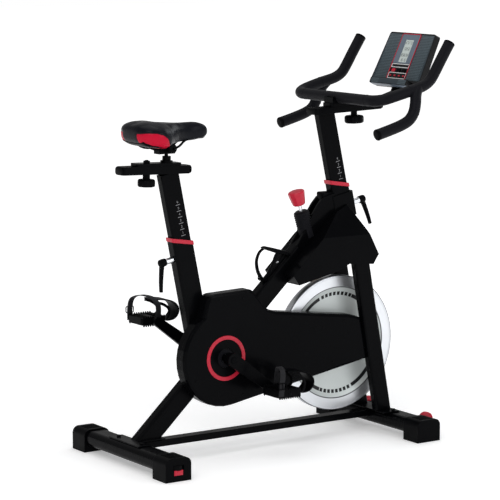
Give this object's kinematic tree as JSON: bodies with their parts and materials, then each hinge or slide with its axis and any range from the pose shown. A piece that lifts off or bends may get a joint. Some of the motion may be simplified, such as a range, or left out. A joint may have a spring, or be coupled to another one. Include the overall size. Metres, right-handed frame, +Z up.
{
  "type": "exercise bike",
  "caption": "Upright spin-style exercise bike with a belt guard, open flywheel, sliding saddle and handlebar posts, toe-cage pedals and a small console.",
  "frame": {"origin": "on the floor, at the middle of the overall length and width", "axes": "+X towards the front of the bike, +Y to the rider's left, +Z up"},
  "size_m": [1.1167, 0.548, 1.2554],
  "materials": {
    "black_paint": "gloss",
    "black_plastic": "satin",
    "guard_plastic": "gloss",
    "red_plastic": "gloss",
    "silver_paint": "satin",
    "steel": "brushed",
    "aluminium": "satin",
    "rubber": "matt",
    "felt": "matt",
    "vinyl": "gloss",
    "console_grey": "satin",
    "screen_glass": "gloss"
  },
  "bodies": {
    "frame": {"rear_stabiliser": "black_paint", "foot_rear_left": "black_plastic", "foot_rear_right": "black_plastic", "front_stabiliser": "black_paint", "foot_front_left": "black_plastic", "foot_front_right": "black_plastic", "main_beam": "black_paint", "seat_tube": "black_paint", "head_tube": "black_paint", "fork_leg_left": "black_paint", "fork_leg_right": "black_paint", "base_bar": "black_paint", "front_foot_plate": "black_paint", "crank_shell": "steel", "flywheel_axle": "steel", "drive_belt": "rubber", "belt_guard_outer": "guard_plastic", "belt_guard_inner": "black_plastic", "shroud_left": "black_plastic", "shroud_right": "black_plastic", "brake_housing": "black_paint", "seat_collar": "red_plastic", "head_collar": "red_plastic", "bottle_cage": "black_plastic"},
    "leveller_left": {"leveller_left": "black_plastic"},
    "leveller_right": {"leveller_right": "black_plastic"},
    "transport_wheel_left": {"transport_wheel_left": "red_plastic"},
    "transport_wheel_right": {"transport_wheel_right": "red_plastic"},
    "flywheel": {"flywheel": "silver_paint", "driven_pulley": "aluminium"},
    "crankset": {"crank_axle": "steel", "crank_arm_left": "silver_paint", "crank_arm_right": "silver_paint", "drive_pulley": "aluminium"},
    "pedal_left": {"pedal_left": "black_plastic", "toe_cage_left": "black_plastic"},
    "pedal_right": {"pedal_right": "black_plastic", "toe_cage_right": "black_plastic"},
    "brake_rod": {"brake_rod": "steel"},
    "brake_knob": {"brake_knob": "red_plastic"},
    "brake_pad": {"brake_pad": "felt"},
    "seat_post": {"seat_post": "black_paint"},
    "saddle_carriage": {"saddle_carriage": "black_paint"},
    "saddle_knob": {"saddle_knob": "black_plastic"},
    "saddle": {"saddle_clamp": "black_plastic", "saddle_rails": "steel", "saddle_base": "black_plastic", "saddle_cushion": "vinyl"},
    "handlebar_post": {"handlebar_post": "black_paint"},
    "handlebar": {"handlebar_carriage": "black_paint", "handlebar": "rubber", "console_neck": "black_plastic", "console_case": "console_grey", "console_screen": "screen_glass"},
    "handlebar_knob": {"handlebar_knob": "black_plastic"},
    "button_start": {"button_start": "console_grey"},
    "button_mode": {"button_mode": "console_grey"},
    "button_reset": {"button_reset": "console_grey"},
    "seat_lever": {"seat_lever": "black_plastic"},
    "head_lever": {"head_lever": "black_plastic"}
  },
  "joints": [
    {"name": "flywheel_turn", "type": "hinge", "parent": "frame", "child": "flywheel", "pos_m": [0.2367, 0, 0.2924], "axis": [0, 1, 0], "continuous": true},
    {"name": "crank_turn", "type": "hinge", "parent": "frame", "child": "crankset", "pos_m": [-0.2145, 0, 0.299], "axis": [0, 1, 0], "continuous": true},
    {"name": "pedal_left_turn", "type": "hinge", "parent": "crankset", "child": "pedal_left", "pos_m": [-0.35186, 0.166, 0.39916], "axis": [0, 1, 0], "continuous": true},
    {"name": "pedal_right_turn", "type": "hinge", "parent": "crankset", "child": "pedal_right", "pos_m": [-0.07714, -0.166, 0.19884], "axis": [0, 1, 0], "continuous": true},
    {"name": "transport_wheel_left_turn", "type": "hinge", "parent": "frame", "child": "transport_wheel_left", "pos_m": [0.4875, 0.15, 0.04], "axis": [0, 1, 0], "continuous": true},
    {"name": "transport_wheel_right_turn", "type": "hinge", "parent": "frame", "child": "transport_wheel_right", "pos_m": [0.4875, -0.15, 0.04], "axis": [0, 1, 0], "continuous": true},
    {"name": "leveller_left_turn", "type": "hinge", "parent": "frame", "child": "leveller_left", "pos_m": [-0.5145, 0.25, 0.04], "axis": [0, 0, 1], "range_deg": [-180, 180]},
    {"name": "leveller_right_turn", "type": "hinge", "parent": "frame", "child": "leveller_right", "pos_m": [-0.5145, -0.25, 0.04], "axis": [0, 0, 1], "range_deg": [-180, 180]},
    {"name": "seat_height", "type": "slide", "parent": "frame", "child": "seat_post", "axis": [-0.2011, 0, 0.9796], "range_m": [-0.1, 0.1]},
    {"name": "saddle_fore_aft", "type": "slide", "parent": "seat_post", "child": "saddle_carriage", "axis": [0.9995, 0, -0.0314], "range_m": [-0.07, 0.015]},
    {"name": "saddle_knob_turn", "type": "hinge", "parent": "saddle_carriage", "child": "saddle_knob", "pos_m": [-0.45149, 0, 0.87979], "axis": [0.0314, 0, 0.9995], "range_deg": [-180, 180]},
    {"name": "saddle_tilt", "type": "hinge", "parent": "saddle_carriage", "child": "saddle", "pos_m": [-0.3825, 0, 0.942], "axis": [0, 1, 0], "range_deg": [-8, 8]},
    {"name": "handlebar_height", "type": "slide", "parent": "frame", "child": "handlebar_post", "axis": [-0.2145, 0, 0.9767], "range_m": [-0.024, 0.04]},
    {"name": "handlebar_fore_aft", "type": "slide", "parent": "handlebar_post", "child": "handlebar", "axis": [0.9995, 0, 0.0332], "range_m": [-0.04, 0.04]},
    {"name": "handlebar_knob_turn", "type": "hinge", "parent": "handlebar", "child": "handlebar_knob", "pos_m": [0.30798, 0, 1.03053], "axis": [-0.0332, 0, 0.9995], "range_deg": [-180, 180]},
    {"name": "brake_press", "type": "slide", "parent": "frame", "child": "brake_rod", "axis": [0.2924, 0, -0.9563], "range_m": [0, 0.0025], "stiffness_N_per_m": 800},
    {"name": "brake_knob_turn", "type": "hinge", "parent": "brake_rod", "child": "brake_knob", "pos_m": [0.09344, 0, 0.76099], "axis": [0.2924, 0, -0.9563], "range_deg": [-360, 360]},
    {"name": "brake_pad_feed", "type": "slide", "parent": "brake_rod", "child": "brake_pad", "axis": [0.2924, 0, -0.9563], "range_m": [-0.0018, 0.0018]},
    {"name": "seat_lever_turn", "type": "hinge", "parent": "frame", "child": "seat_lever", "pos_m": [-0.32657, 0, 0.612], "axis": [-0.9796, 0, -0.2011], "range_deg": [-100, 100]},
    {"name": "head_lever_turn", "type": "hinge", "parent": "frame", "child": "head_lever", "pos_m": [0.25769, 0, 0.73], "axis": [0.9767, 0, 0.2145], "range_deg": [-100, 100]},
    {"name": "button_start_press", "type": "slide", "parent": "handlebar", "child": "button_start", "axis": [0.8988, 0, -0.4384], "range_m": [0, 0.0015], "stiffness_N_per_m": 400},
    {"name": "button_mode_press", "type": "slide", "parent": "handlebar", "child": "button_mode", "axis": [0.8988, 0, -0.4384], "range_m": [0, 0.0015], "stiffness_N_per_m": 400},
    {"name": "button_reset_press", "type": "slide", "parent": "handlebar", "child": "button_reset", "axis": [0.8988, 0, -0.4384], "range_m": [0, 0.0015], "stiffness_N_per_m": 400}
  ],
  "couplings": [
    {"joint": "crank_turn", "follows": "flywheel_turn", "ratio": 0.30556},
    {"joint": "brake_pad_feed", "follows": "brake_knob_turn", "m_per_rad": 0.0002785}
  ]
}
